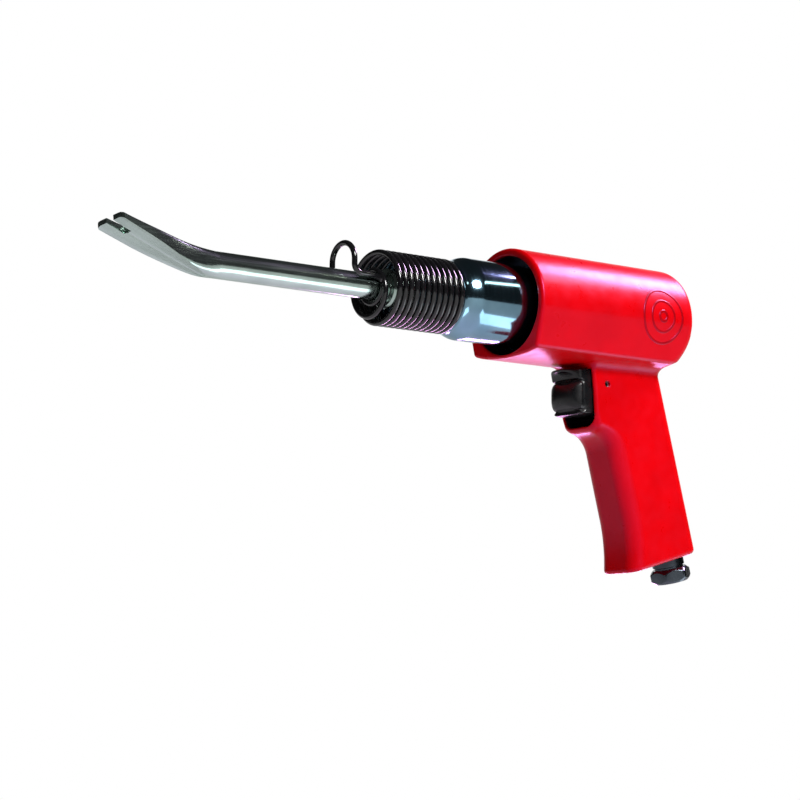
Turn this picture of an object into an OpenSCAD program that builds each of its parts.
// Pneumatic air hammer with a pistol grip: a cast housing, a steel barrel with a coil
// retainer, a forked panel cutter and the valves, piston and trigger parts inside.
// The parts are drawn with the barrel axis along X, muzzle towards -X, and the front
// face of the housing close to X = 0. The whole tool is then moved so that the mouth of
// the air inlet is the origin.

/* [Housing] */
// Front face of the cast body
body_front = -2; // [-3:0.5:0]
// Rear end of the cast body
body_rear = 105; // [103:0.5:110]
// Radius of the arched top of the body
body_r = 29.2; // [28.5:0.1:30]
// Half width of the body at its side crease
crease_half_w = 24; // [23:0.1:25]
// Depth of the side crease below the barrel axis
crease_drop = 23.5; // [22.5:0.5:25]
// Depth of the middle of the underside below the barrel axis
belly_drop = 28.3; // [27.5:0.1:28.6]
// Radius of the round opening around the barrel
opening_r = 25; // [24.3:0.1:25.2]
// End of that opening, which is the exhaust gap
opening_end = 24; // [20:0.5:24]
// Radius of the bore that holds the barrel and the valve cases
main_bore_r = 21; // [20.8:0.1:21.4]
// End of that bore, measured from the front face
main_bore_end = 96; // [95:0.5:98]

/* [Grip] */
// Lean of the grip from the vertical, in degrees
rake = 15.5; // [14:0.5:16]
// Front-to-rear depth of the grip
grip_depth = 44.4; // [43:0.2:46]
// Thickness of the grip from side to side
grip_w = 28; // [27:0.5:30]
// Corner radius of the grip's section
grip_corner = 8; // [7:0.5:11]
// Length of the grip below its middle point
grip_below = 32.5; // [32:0.5:34]
// Forward flare of the toe at the bottom of the grip
toe_flare = 5; // [3:0.5:6]

/* [Trigger] */
// Travel of the trigger
trigger_travel = 4.5; // [3:0.5:4.5]
// Width of the trigger
trigger_w = 21.6; // [20:0.2:21.8]
// Height of the trigger stem's axis below the barrel axis
stem_drop = 44; // [43:0.5:45]
// Diameter of the cross pin that keeps the trigger in
pin_d = 3; // [2.5:0.5:3]

/* [Air inlet] */
// Offset of the inlet behind the middle of the grip
inlet_offset = 10.8; // [10:0.1:11.1]
// Width of the inlet hexagon across its flats, 3/4 inch
hex_af = 19; // [18:0.5:19]
// Length of the inlet bushing below the grip
inlet_l = 12.7; // [12:0.1:14]
// Wall radius of the 1/4-18 NPT female thread
inlet_thread_r = 5.7; // [5.5:0.05:5.8]

/* [Barrel and piston] */
// Outer radius of the barrel in front of the housing
barrel_r = 20.6; // [20.3:0.1:20.8]
// Radius of the spigot under the retainer spring
spigot_r = 15.6; // [15.2:0.1:15.7]
// Front end of the barrel
barrel_nose = -71.7; // [-72:0.1:-71.5]
// Rear end of the barrel
barrel_rear = 72; // [71.7:0.1:73]
// Bore radius, 3/4 inch bore
bore_r = 9.525; // [9.5:0.005:9.55]
// Bore radius of the shank socket, for a 0.401 inch shank
socket_r = 5.15; // [5.13:0.01:5.18]
// Length of the piston, 1-3/8 inch
piston_l = 34.9; // [32:0.1:34.9]

/* [Retainer spring] */
// Radius of the spring wire
wire_r = 1.4; // [1.2:0.05:1.4]
// Mean radius of the main coil
coil_r = 17.1; // [17.1:0.1:17.5]
// Number of turns in the main coil
coil_turns = 12; // [10:1:12]
// Mean radius of the small front coil around the chisel
neck_coil_r = 8.2; // [8.2:0.1:9]
// Height of the wire's centre at the top of the thumb loop
loop_top = 19.3; // [17:0.1:21]

/* [Chisel] */
// Radius of the chisel's round bar, 1/2 inch bar
bar_r = 6.35; // [6:0.05:6.4]
// Radius of the 0.401 inch shank
shank_r = 5.09; // [5.05:0.01:5.1]
// Length of the shank behind the collar
shank_l = 41.7; // [40:0.1:41.7]
// Radius of the chisel's collar
collar_r = 9.9; // [9:0.1:10]
// Half width of the flattened head
head_half_w = 9.5; // [8.5:0.5:10]
// Twist of the head about the bar, in degrees
head_twist = 8; // [0:1:10]

/* [Hidden] */
$fn = 64;
eps = 0.01;
gap = 0.3;              // clearance between pieces that move past each other

// Middle point of the grip, in the side view
grip_x = 90.95;
grip_z = -93.3;

// Mouth of the air inlet, which becomes the origin
inlet_end = grip_below + inlet_l;
mouth_x = grip_x + inlet_offset * cos(rake) + inlet_end * sin(rake);
mouth_z = grip_z + inlet_offset * sin(rake) - inlet_end * cos(rake);

// Rear of the body in the side view
rear_edge_r = 5;
rear_heel_r = 16;
rear_heel_z = -8;

// Block around the trigger
box_front = 47.8;
box_rear = 75;
box_half_w = 13;
box_bottom = -60.5;
box_edge_r = 4;
pocket_top = -28.9;
pocket_bottom = -57.8;
pocket_rear = 65.3;
pocket_half_w = trigger_w / 2 + 0.4;
pin_x = 56;
pin_z = -36.1;
pin_half_l = 12.3;

// Trigger shape in the side view
trigger_top = -29.2;
trigger_bottom = -52;
trigger_rear = 60;
trigger_web_x = 41.5;
pad_x = 42;
pad_z = -42.4;
pad_r = 7;
hood_front = 33.5;
hood_bottom = -34;
hollow_x = 33.2;
hollow_z = -36;
hollow_r = 6;
lip_front = 39.5;
lip_t = 1.7;
plan_r = 12;
plan_x = hood_front + plan_r;

// Trigger stem and its guide
stem_r = 2.2;
stem_back = 57;
bushing_l = 10;
bushing_r = 4.5;
seal_section_r = 1.1;
stem_bore_end = pocket_rear + bushing_l + 2 * seal_section_r;
stem_tip_gap = 0.35;

// Air passage along the grip, with heights measured up from the grip's middle point
passage_r = 7.2;
chamber_r = 6.2;
seat_bottom = 28;
seat_top = 33;
seat_hole_r = 4;
valve_stem_r = 1.5;
valve_stem_top = 50.5;
valve_head_r = 5.8;
valve_head_t = 2.2;
valve_seal_t = 1.15;
chamber_top = 76;
retainer_bottom = 5;
retainer_top = 10;
retainer_hole_r = 3.2;
throttle_wire_r = 0.5;
throttle_coil_r = 4.4;
throttle_turns = 5;
base_bore_r = 8.4;
base_bore_l = 14.7;
screen_t = 1.2;
screen_hole_r = 0.7;
screen_pitch = 2.6;
neck_l = 5.3;
chamfer_drop = 2.2;

// Place along X where the stem's axis meets the axis of the air passage
passage_x = grip_x + inlet_offset * cos(rake)
    + (grip_z + inlet_offset * sin(rake) + stem_drop) * tan(rake);
stem_tip = passage_x - valve_stem_r / cos(rake) - stem_r / cos(rake) + stem_r - stem_tip_gap;

// Barrel features along X
shoulder_x = -40.5;
shoulder_r = 18;
flare_x = -32;
socket_rear = -35;
port_x = 12;
port_r = 2.2;
port_count = 6;
channel_r = 1.5;
channel_pitch_r = 15;
channel_end = -28;
seal_x = 27.2;
seal_minor_r = 0.9;
lock_ring_l = 5.5;
lock_ring_r = opening_r - 0.4;
notch_count = 4;
notch_w = 5;

// Valve cases along X
case_split = 83;
case_rear = 94.5;
case_port_r = 6;
valve_room_r = 13.3;
valve_room_front = 80;
valve_disc_r = 13;
valve_disc_t = 1.7;
groove_r = 17.5;
groove_front = 77;
groove_rear = 89;
dowel_r = 1.25;
dowel_front = 66;
dowel_rear = 92;
rear_port_r = 1.6;
rear_port_pitch_r = 9.5;

// Retainer spring along X
coil_rear_x = -42.2;
coil_front_x = -84.2;
neck_coil_x = -85.7;
loop_x = -103.5;
loop_half_w = 8.7;
loop_bend_r = 4;
run_z = 4.2;
far_leg_end = -3;
coil_steps = 24;        // points in each turn of the wire
wire_sides = 10;

// Chisel along X
collar_rear = barrel_nose - gap;
collar_l = 7.5;
collar_front = collar_rear - collar_l;
collar_chamfer = 1;
head_start = -178;
head_l = 54.6;
fork_depth = 9;
fork_half_w = 2.4;

// ---------------------------------------------------------------- helpers

// Moves the tool from the barrel's frame to the inlet's mouth
module tool_frame() {
    translate([-mouth_x, 0, -mouth_z]) children();
}

// Frame of the grip: X runs front to rear across it, Z runs up along it
module grip_frame() {
    translate([grip_x, 0, grip_z]) rotate([0, -rake, 0]) children();
}

// Frame of the air passage, which runs along the grip
module passage_frame() {
    grip_frame() translate([inlet_offset, 0, 0]) children();
}

// Cylinder along the barrel axis between two places on X
module rod_x(x0, x1, r) {
    translate([x0, 0, 0]) rotate([0, 90, 0]) cylinder(h = x1 - x0, r = r);
}

// Cone along the barrel axis
module cone_x(x0, x1, r0, r1) {
    translate([x0, 0, 0]) rotate([0, 90, 0]) cylinder(h = x1 - x0, r1 = r0, r2 = r1);
}

// O-ring around the barrel axis
module ring_x(x, major_r, minor_r) {
    translate([x, 0, 0]) rotate([0, 90, 0]) rotate_extrude() translate([major_r, 0]) circle(minor_r);
}

// Side-view outline, extruded across the tool
module side_slab(half_w) {
    rotate([90, 0, 0]) linear_extrude(2 * half_w, center = true) children();
}

// End-view outline, extruded along the barrel
module end_bar(x0, length) {
    translate([x0, 0, 0]) rotate([90, 0, 90]) linear_extrude(length) children();
}

// Rectangle with rounded corners, about its middle
module round_rect(l, w, r) {
    square([l - 2 * r, w], center = true);
    square([l, w - 2 * r], center = true);
    for (sx = [-1, 1])
        for (sy = [-1, 1])
            translate([sx * (l / 2 - r), sy * (w / 2 - r)]) circle(r);
}

function unit(v) = v / norm(v);
function mix(a, b, t) = a + (b - a) * t;

// Round wire along a path. Every ring is turned by the direction away from the X axis
// at centre c, which is never along the path.
module wire(path, r, c = [0, 0, 0]) {
    n = len(path);
    tangent = [for (i = [0:n - 1]) unit(path[min(i + 1, n - 1)] - path[max(i - 1, 0)])];
    away = [for (p = path) unit([0, p[1] - c[1], p[2] - c[2]])];
    side = [for (i = [0:n - 1]) unit(away[i] - (away[i] * tangent[i]) * tangent[i])];
    points = [for (i = [0:n - 1]) for (k = [0:wire_sides - 1])
        let (a = 360 * k / wire_sides)
        path[i] + r * (cos(a) * side[i] + sin(a) * cross(tangent[i], side[i]))];
    walls = [for (i = [0:n - 2]) for (k = [0:wire_sides - 1])
        let (m = (k + 1) % wire_sides)
        [i * wire_sides + k, (i + 1) * wire_sides + k,
         (i + 1) * wire_sides + m, i * wire_sides + m]];
    start = [[for (k = [0:wire_sides - 1]) k]];
    end = [[for (k = [wire_sides - 1:-1:0]) (n - 1) * wire_sides + k]];
    polyhedron(points, concat(walls, start, end));
}

// ---------------------------------------------------------------- housing

// End view of the body: an arch, sides that lean in to a crease, and a shallow underside
module body_outline() {
    sag = belly_drop - crease_drop;
    belly_r = (crease_half_w * crease_half_w + sag * sag) / (2 * sag);
    side_top = [body_r * cos(8) - 0.05, -body_r * sin(8)];
    lean = (side_top[0] - crease_half_w) / (side_top[1] + crease_drop);
    side_bottom = [crease_half_w - lean * (sag + 2), -belly_drop - 2];
    intersection() {
        union() {
            circle(body_r, $fn = 96);
            polygon([[-side_top[0], side_top[1]], side_top, side_bottom,
                     [-side_bottom[0], side_bottom[1]]]);
        }
        translate([0, belly_r - belly_drop]) circle(belly_r, $fn = 128);
    }
}

// Side view of the body, with a rounded top rear edge and a rounded heel
module body_side() {
    translate([body_front, -belly_drop - 1])
        square([body_rear - rear_heel_r - body_front, belly_drop + 1 + body_r]);
    translate([0, rear_heel_z]) square([body_rear - rear_edge_r, body_r - rear_heel_z]);
    translate([0, rear_heel_z]) square([body_rear, body_r - rear_edge_r - rear_heel_z]);
    translate([body_rear - rear_edge_r, body_r - rear_edge_r]) circle(rear_edge_r);
    translate([body_rear - rear_heel_r, rear_heel_z]) circle(rear_heel_r);
}

// Block that carries the trigger, below the body
module trigger_box() {
    side_slab(box_half_w) {
        translate([box_front, box_bottom + box_edge_r])
            square([box_rear - box_front, -belly_drop + 8 - box_bottom - box_edge_r]);
        translate([box_front + box_edge_r, box_bottom])
            square([box_rear - box_front - box_edge_r, 10]);
        translate([box_front + box_edge_r, box_bottom + box_edge_r]) circle(box_edge_r);
    }
}

// Grip with the flared toe at its lower front corner
module grip() {
    toe_h = 12;
    grip_frame() {
        translate([0, 0, -grip_below])
            linear_extrude(grip_below + 76) round_rect(grip_depth, grip_w, grip_corner);
        intersection() {
            side_slab(grip_w / 2)
                polygon([[-grip_depth / 2 - toe_flare, -grip_below], [0, -grip_below],
                         [0, toe_h - grip_below], [-grip_depth / 2, toe_h - grip_below]]);
            translate([-toe_flare, 0, -grip_below])
                linear_extrude(toe_h) round_rect(grip_depth, grip_w, grip_corner);
        }
    }
}

module handle_housing() {
    color("crimson") difference() {
        union() {
            intersection() {
                end_bar(body_front, body_rear - body_front) body_outline();
                side_slab(body_r + 1) body_side();
            }
            trigger_box();
            intersection() {
                grip();
                translate([0, -body_r, -200]) cube([body_rear + 40, 2 * body_r, 200]);
            }
        }
        rod_x(body_front - 1, opening_end, opening_r);
        rod_x(opening_end - eps, main_bore_end, main_bore_r);
        side_slab(pocket_half_w)
            translate([box_front - 10, pocket_bottom])
                square([pocket_rear - box_front + 10, pocket_top - pocket_bottom]);
        translate([pocket_rear - 1, 0, -stem_drop]) rod_x(0, stem_bore_end - pocket_rear + 1, bushing_r);
        translate([stem_bore_end - 1, 0, -stem_drop])
            rod_x(0, passage_x - stem_bore_end + 1, stem_r + 0.4);
        translate([pin_x, 0, pin_z]) rotate([90, 0, 0])
            cylinder(h = 4 * box_half_w, r = pin_d / 2, center = true);
        passage_frame() {
            translate([0, 0, -grip_below - 1]) cylinder(h = base_bore_l + 1, r = base_bore_r);
            translate([0, 0, -grip_below]) cylinder(h = grip_below + seat_top, r = passage_r);
            translate([0, 0, seat_top - 1]) cylinder(h = chamber_top - seat_top + 1, r = chamber_r);
        }
    }
}

// ---------------------------------------------------------------- barrel and its fittings

module barrel() {
    color("#202226") difference() {
        union() {
            rod_x(barrel_nose, shoulder_x, spigot_r);
            cone_x(shoulder_x, flare_x, shoulder_r, barrel_r);
            rod_x(flare_x, opening_end, barrel_r);
            rod_x(opening_end, barrel_rear, main_bore_r);
        }
        rod_x(socket_rear, barrel_rear + 1, bore_r);
        rod_x(barrel_nose - 1, socket_rear + 1, socket_r);
        for (i = [0:port_count - 1])
            translate([port_x, 0, 0]) rotate([15 + 360 / port_count * i, 0, 0])
                cylinder(h = barrel_r + 1, r = port_r);
        for (a = [105, 285])
            rotate([a, 0, 0]) translate([0, 0, channel_pitch_r])
                rod_x(channel_end, barrel_rear + 1, channel_r);
        for (a = [0, 180])
            rotate([a, 0, 0]) translate([0, 0, channel_pitch_r])
                rod_x(dowel_front, barrel_rear + 1, dowel_r);
        difference() {
            rod_x(seal_x - seal_minor_r, seal_x + seal_minor_r, main_bore_r + 1);
            rod_x(seal_x - 2, seal_x + 2, main_bore_r - 2 * seal_minor_r);
        }
    }
}

// Round nut that locks the barrel against the end of the front opening
module lock_ring() {
    color("#34373b") difference() {
        rod_x(opening_end - lock_ring_l, opening_end, lock_ring_r);
        rod_x(opening_end - lock_ring_l - 1, opening_end + 1, barrel_r);
        for (i = [0:notch_count - 1])
            rotate([45 + 360 / notch_count * i, 0, 0])
                translate([opening_end - lock_ring_l - 1, -notch_w / 2, lock_ring_r - 2])
                    cube([3, notch_w, 4]);
    }
}

module barrel_seal() {
    color("#151515") ring_x(seal_x, main_bore_r - seal_minor_r, seal_minor_r);
}

// Path of the retainer wire: main coil, spiral to the small front coil, a run forward
// beside the chisel, and the thumb loop that stands over it
function coil_point(x, r, a) = [x, r * cos(a), r * sin(a)];
function bezier(p, t) = pow(1 - t, 3) * p[0] + 3 * t * pow(1 - t, 2) * p[1]
    + 3 * t * t * (1 - t) * p[2] + pow(t, 3) * p[3];
leave_angle = 168;
spiral_turn = 0.75;
neck_turn = 0.85;
neck_start = leave_angle + 360 * neck_turn;
coil_end = neck_start + 360 * spiral_turn;
coil_start = coil_end + 360 * coil_turns;
leave_point = coil_point(neck_coil_x, neck_coil_r, leave_angle);
run_end = [loop_x + loop_bend_r, -loop_half_w, run_z];
arch_z = loop_top - loop_half_w;
retainer_path = concat(
    [for (i = [0:coil_turns * coil_steps])
        let (t = i / (coil_turns * coil_steps))
        coil_point(mix(coil_rear_x, coil_front_x, t), coil_r, mix(coil_start, coil_end, t))],
    [for (i = [1:18])
        let (t = i / 18, s = t * t * (3 - 2 * t))
        coil_point(mix(coil_front_x, neck_coil_x, min(1, 2 * t)), mix(coil_r, neck_coil_r, s),
                   mix(coil_end, neck_start, t))],
    [for (i = [1:20])
        let (t = i / 20) coil_point(neck_coil_x, neck_coil_r, mix(neck_start, leave_angle, t))],
    [for (i = [1:12])
        bezier([leave_point, leave_point + [-1.5, 0.6, 2.2],
                run_end + [8, 0, 0], run_end], i / 12)],
    [for (i = [1:6])
        let (a = 15 * i)
        run_end + loop_bend_r * [-sin(a), 0, 1 - cos(a)]],
    [for (i = [0:18])
        let (a = 180 - 10 * i)
        [loop_x, loop_half_w * cos(a), arch_z + loop_half_w * sin(a)]],
    [for (i = [1:5])
        [loop_x, loop_half_w, mix(arch_z, far_leg_end, i / 5)]]);

module retainer_spring() {
    color("#17191c") wire(retainer_path, wire_r);
}

// ---------------------------------------------------------------- chisel

// Rises of the head's top and bottom faces and its half width, as it is forged up and out
// from the bar (t = 0) to the tip (t = 1). The far side of the tip reaches further forward.
head_r = bar_r + 0.1;
function rise(t) = 9.5 * pow(t, 1.9);
function sink(t) = 19.2 * pow(t, 1.12);
function half_width(t) = head_r + (head_half_w - head_r) * pow(min(1, max(0, t - 0.2) / 0.5), 1.5);

tip_slant = 0.1;
function twisted(t, y, z) = [head_start - (head_l + tip_slant * y) * t,
    y * cos(head_twist * t) + z * sin(head_twist * t),
    z * cos(head_twist * t) - y * sin(head_twist * t)];

// Head lofted from a circle at the bar to a flat blade at the tip, with a slot in its end
module chisel_head() {
    steps = 22;
    sides = 36;
    points = [for (i = [0:steps]) for (k = [0:sides - 1])
        let (t = i / steps,
             a = 360 * k / sides,
             top = head_r + rise(t),
             bottom = -head_r + sink(max(0, (t - 0.1) / 0.9)),
             e = 2 / (2 + 8 * t),
             cy = sign(cos(a)) * pow(abs(cos(a)), e),
             cz = sign(sin(a)) * pow(abs(sin(a)), e))
        twisted(t, half_width(t) * cy, (top + bottom) / 2 + (top - bottom) / 2 * cz)];
    walls = [for (i = [0:steps - 1]) for (k = [0:sides - 1])
        let (m = (k + 1) % sides)
        [i * sides + k, i * sides + m, (i + 1) * sides + m, (i + 1) * sides + k]];
    start = [[for (k = [sides - 1:-1:0]) k]];
    end = [[for (k = [0:sides - 1]) steps * sides + k]];
    difference() {
        polyhedron(points, concat(walls, start, end));
        rotate([-head_twist, 0, 0]) translate([head_start - head_l - 2, -fork_half_w, 0])
            cube([2 + fork_depth, 2 * fork_half_w, 30]);
    }
}

module chisel() {
    color("silver") {
        rod_x(collar_rear, collar_rear + shank_l - 1, shank_r);
        cone_x(collar_rear + shank_l - 1, collar_rear + shank_l, shank_r, shank_r - 1);
        rod_x(collar_front + collar_chamfer, collar_rear, collar_r);
        cone_x(collar_front, collar_front + collar_chamfer, collar_r - collar_chamfer, collar_r);
        rod_x(head_start, collar_front, bar_r);
        chisel_head();
    }
}

// ---------------------------------------------------------------- piston and valve cases

// The piston rests against the end of the chisel's shank
module piston() {
    front = collar_rear + shank_l + 0.1;
    bevel = 1.2;
    color("lightgray") {
        cone_x(front, front + bevel, bore_r - 0.025 - bevel, bore_r - 0.025);
        rod_x(front + bevel, front + piston_l - bevel, bore_r - 0.025);
        cone_x(front + piston_l - bevel, front + piston_l, bore_r - 0.025, bore_r - 0.025 - bevel);
    }
}

// Air groove around the outside of the valve cases
module case_groove(x0, x1) {
    difference() {
        rod_x(x0, x1, main_bore_r + 1);
        rod_x(x0 - 1, x1 + 1, groove_r);
    }
}

// Holes for the two dowels
module dowel_holes() {
    for (a = [0, 180])
        rotate([a, 0, 0]) translate([0, 0, channel_pitch_r]) rod_x(dowel_front, dowel_rear, dowel_r);
}

module front_valve_case() {
    color("slategray") difference() {
        rod_x(barrel_rear, case_split, main_bore_r);
        rod_x(barrel_rear - 1, case_split, case_port_r);
        rod_x(valve_room_front, case_split + 1, valve_room_r);
        case_groove(groove_front, case_split + 1);
        dowel_holes();
        for (a = [105, 285])
            rotate([a, 0, 0]) translate([0, 0, channel_pitch_r])
                rod_x(barrel_rear - 1, case_split + 1, channel_r);
    }
}

// Thin disc that shuttles between the two cases and sends air to either end of the bore
module cycle_valve() {
    front = valve_room_front + gap;
    color("gainsboro") difference() {
        rod_x(front, front + valve_disc_t, valve_disc_r);
        rod_x(front - 1, front + valve_disc_t + 1, 3);
    }
}

module rear_valve_case() {
    color("slategray") difference() {
        rod_x(case_split, case_rear, main_bore_r);
        rod_x(case_split - 1, case_rear - 4, 5);
        case_groove(case_split - 1, groove_rear);
        dowel_holes();
        for (i = [0:5])
            rotate([30 + 60 * i, 0, 0]) translate([0, 0, rear_port_pitch_r])
                rod_x(case_split - 1, case_rear - 4, rear_port_r);
    }
}

module valve_dowels() {
    color("silver") for (a = [0, 180])
        rotate([a, 0, 0]) translate([0, 0, channel_pitch_r])
            rod_x(dowel_front, dowel_rear, dowel_r);
}

module valve_gasket() {
    color("#5a4632") difference() {
        rod_x(case_rear, main_bore_end, main_bore_r);
        rod_x(case_rear - 1, main_bore_end + 1, main_bore_r - 5);
    }
}

// ---------------------------------------------------------------- trigger

// Side view of the trigger: a hood on top, a hollow, a round finger pad and a thin lip
module trigger_side() {
    difference() {
        union() {
            translate([trigger_web_x, trigger_bottom])
                square([trigger_rear - trigger_web_x, trigger_top - trigger_bottom]);
            translate([hood_front, hood_bottom])
                square([trigger_web_x - hood_front + 1, trigger_top - hood_bottom]);
            translate([lip_front, trigger_bottom]) square([4, lip_t]);
        }
        translate([hollow_x, hollow_z]) circle(hollow_r);
    }
    translate([pad_x, pad_z]) circle(pad_r);
}

// Top view of the trigger: a rounded front
module trigger_plan() {
    intersection() {
        translate([hood_front - 1, -trigger_w / 2]) square([trigger_rear - hood_front + 2, trigger_w]);
        union() {
            translate([plan_x, 0]) circle(plan_r);
            translate([plan_x, -trigger_w]) square([trigger_rear - plan_x + 1, 2 * trigger_w]);
        }
    }
}

module trigger() {
    slot_r = pin_d / 2 + gap;
    color("#101114") difference() {
        intersection() {
            side_slab(trigger_w / 2 + 1) trigger_side();
            translate([0, 0, trigger_bottom - 1]) linear_extrude(30) trigger_plan();
        }
        translate([pin_x - trigger_travel, 0, pin_z]) rotate([90, 0, 0])
            cylinder(h = 2 * trigger_w, r = slot_r, center = true);
        translate([pin_x, 0, pin_z]) rotate([90, 0, 0])
            cylinder(h = 2 * trigger_w, r = slot_r, center = true);
        translate([pin_x - trigger_travel, -trigger_w, pin_z - slot_r])
            cube([trigger_travel, 2 * trigger_w, 2 * slot_r]);
        translate([stem_back, 0, -stem_drop]) rod_x(0, 10, stem_r);
    }
}

// Steel push rod in the back of the trigger, with a round end
module trigger_stem() {
    color("silver") translate([0, 0, -stem_drop]) {
        rod_x(stem_back, stem_tip - stem_r, stem_r);
        translate([stem_tip - stem_r, 0, 0]) sphere(stem_r);
    }
}

// Roll pin across the trigger box
module trigger_pin() {
    color("#5b5d61") translate([pin_x, 0, pin_z]) rotate([90, 0, 0]) difference() {
        cylinder(h = 2 * pin_half_l, r = pin_d / 2, center = true);
        cylinder(h = 2 * pin_half_l + 2, r = pin_d / 2 - 0.6, center = true);
    }
}

module trigger_bushing() {
    color("goldenrod") translate([0, 0, -stem_drop]) difference() {
        rod_x(pocket_rear, pocket_rear + bushing_l, bushing_r);
        rod_x(pocket_rear - 1, pocket_rear + bushing_l + 1, stem_r + 0.05);
    }
}

module trigger_seal() {
    x = pocket_rear + bushing_l + seal_section_r;
    color("#151515") translate([0, 0, -stem_drop])
        ring_x(x, bushing_r - seal_section_r, seal_section_r);
}

// ---------------------------------------------------------------- throttle and inlet

module throttle_seat() {
    color("goldenrod") passage_frame() difference() {
        translate([0, 0, seat_bottom]) cylinder(h = seat_top - seat_bottom, r = passage_r);
        translate([0, 0, seat_bottom - 1]) cylinder(h = seat_top - seat_bottom + 2, r = seat_hole_r);
    }
}

// Tilt valve: a head below the seat and a stem that the trigger pushes over
module throttle_valve() {
    head_top = seat_bottom - 0.05 - valve_seal_t;
    color("silver") passage_frame() {
        translate([0, 0, head_top - valve_head_t]) cylinder(h = valve_head_t, r = valve_head_r);
        translate([0, 0, head_top - eps])
            cylinder(h = valve_stem_top - head_top + eps, r = valve_stem_r);
    }
}

module throttle_valve_seal() {
    color("#151515") passage_frame()
        translate([0, 0, seat_bottom - 0.05 - valve_seal_t]) difference() {
            cylinder(h = valve_seal_t, r = valve_head_r - 0.3);
            translate([0, 0, -1]) cylinder(h = valve_seal_t + 2, r = valve_stem_r);
        }
}

throttle_spring_bottom = retainer_top + throttle_wire_r;
throttle_spring_top = seat_bottom - 0.1 - valve_seal_t - valve_head_t - throttle_wire_r;
throttle_path = [for (i = [0:throttle_turns * 18])
    let (t = i / (throttle_turns * 18), a = 20 * i)
    [mix(throttle_spring_bottom, throttle_spring_top, t),
     throttle_coil_r * cos(a), throttle_coil_r * sin(a)]];

module throttle_spring() {
    color("silver") passage_frame() rotate([0, -90, 0]) wire(throttle_path, throttle_wire_r);
}

// Threaded ring that carries the throttle spring
module spring_retainer() {
    color("goldenrod") passage_frame() difference() {
        translate([0, 0, retainer_bottom])
            cylinder(h = retainer_top - retainer_bottom, r = passage_r);
        translate([0, 0, retainer_bottom - 1])
            cylinder(h = retainer_top - retainer_bottom + 2, r = retainer_hole_r);
    }
}

// Strainer disc with rings of small holes
module inlet_screen() {
    color("lightgray") passage_frame()
        translate([0, 0, base_bore_l - grip_below - screen_t]) difference() {
            cylinder(h = screen_t, r = base_bore_r);
            for (ring = [0:2])
                for (i = [0:max(0, 6 * ring - 1)])
                    rotate([0, 0, ring == 0 ? 0 : 60 * i / ring])
                        translate([screen_pitch * ring, 0, -1])
                            cylinder(h = screen_t + 2, r = screen_hole_r, $fn = 16);
        }
}

// Inlet bushing: a threaded neck in the grip and a hexagon below it
module inlet_bushing() {
    top = base_bore_l - grip_below - screen_t;
    hex_r = hex_af / 2 / cos(30);
    hex_h = inlet_l - neck_l;
    thread_l = 12;
    color("#26292d") passage_frame() difference() {
        union() {
            translate([0, 0, -grip_below - neck_l - 1])
                cylinder(h = top + grip_below + neck_l + 1, r = base_bore_r);
            intersection() {
                translate([0, 0, -grip_below - inlet_l]) rotate([0, 0, 30])
                    cylinder(h = hex_h, r = hex_r, $fn = 6);
                translate([0, 0, -grip_below - inlet_l])
                    cylinder(h = hex_h, r1 = hex_r - chamfer_drop, r2 = hex_r + hex_h - chamfer_drop);
            }
        }
        translate([0, 0, -grip_below - inlet_l - 1]) cylinder(h = thread_l + 1, r = inlet_thread_r);
        translate([0, 0, -grip_below]) cylinder(h = top + grip_below + 1, r = 4.5);
        translate([0, 0, -grip_below - inlet_l + thread_l - eps]) cylinder(h = 10, r = 4.5);
    }
}

// ---------------------------------------------------------------- output

tool_frame() handle_housing();
tool_frame() barrel();
tool_frame() lock_ring();
tool_frame() barrel_seal();
tool_frame() retainer_spring();
tool_frame() chisel();
tool_frame() piston();
tool_frame() front_valve_case();
tool_frame() cycle_valve();
tool_frame() rear_valve_case();
tool_frame() valve_dowels();
tool_frame() valve_gasket();
tool_frame() trigger();
tool_frame() trigger_stem();
tool_frame() trigger_pin();
tool_frame() trigger_bushing();
tool_frame() trigger_seal();
tool_frame() throttle_seat();
tool_frame() throttle_valve();
tool_frame() throttle_valve_seal();
tool_frame() throttle_spring();
tool_frame() spring_retainer();
tool_frame() inlet_screen();
tool_frame() inlet_bushing();
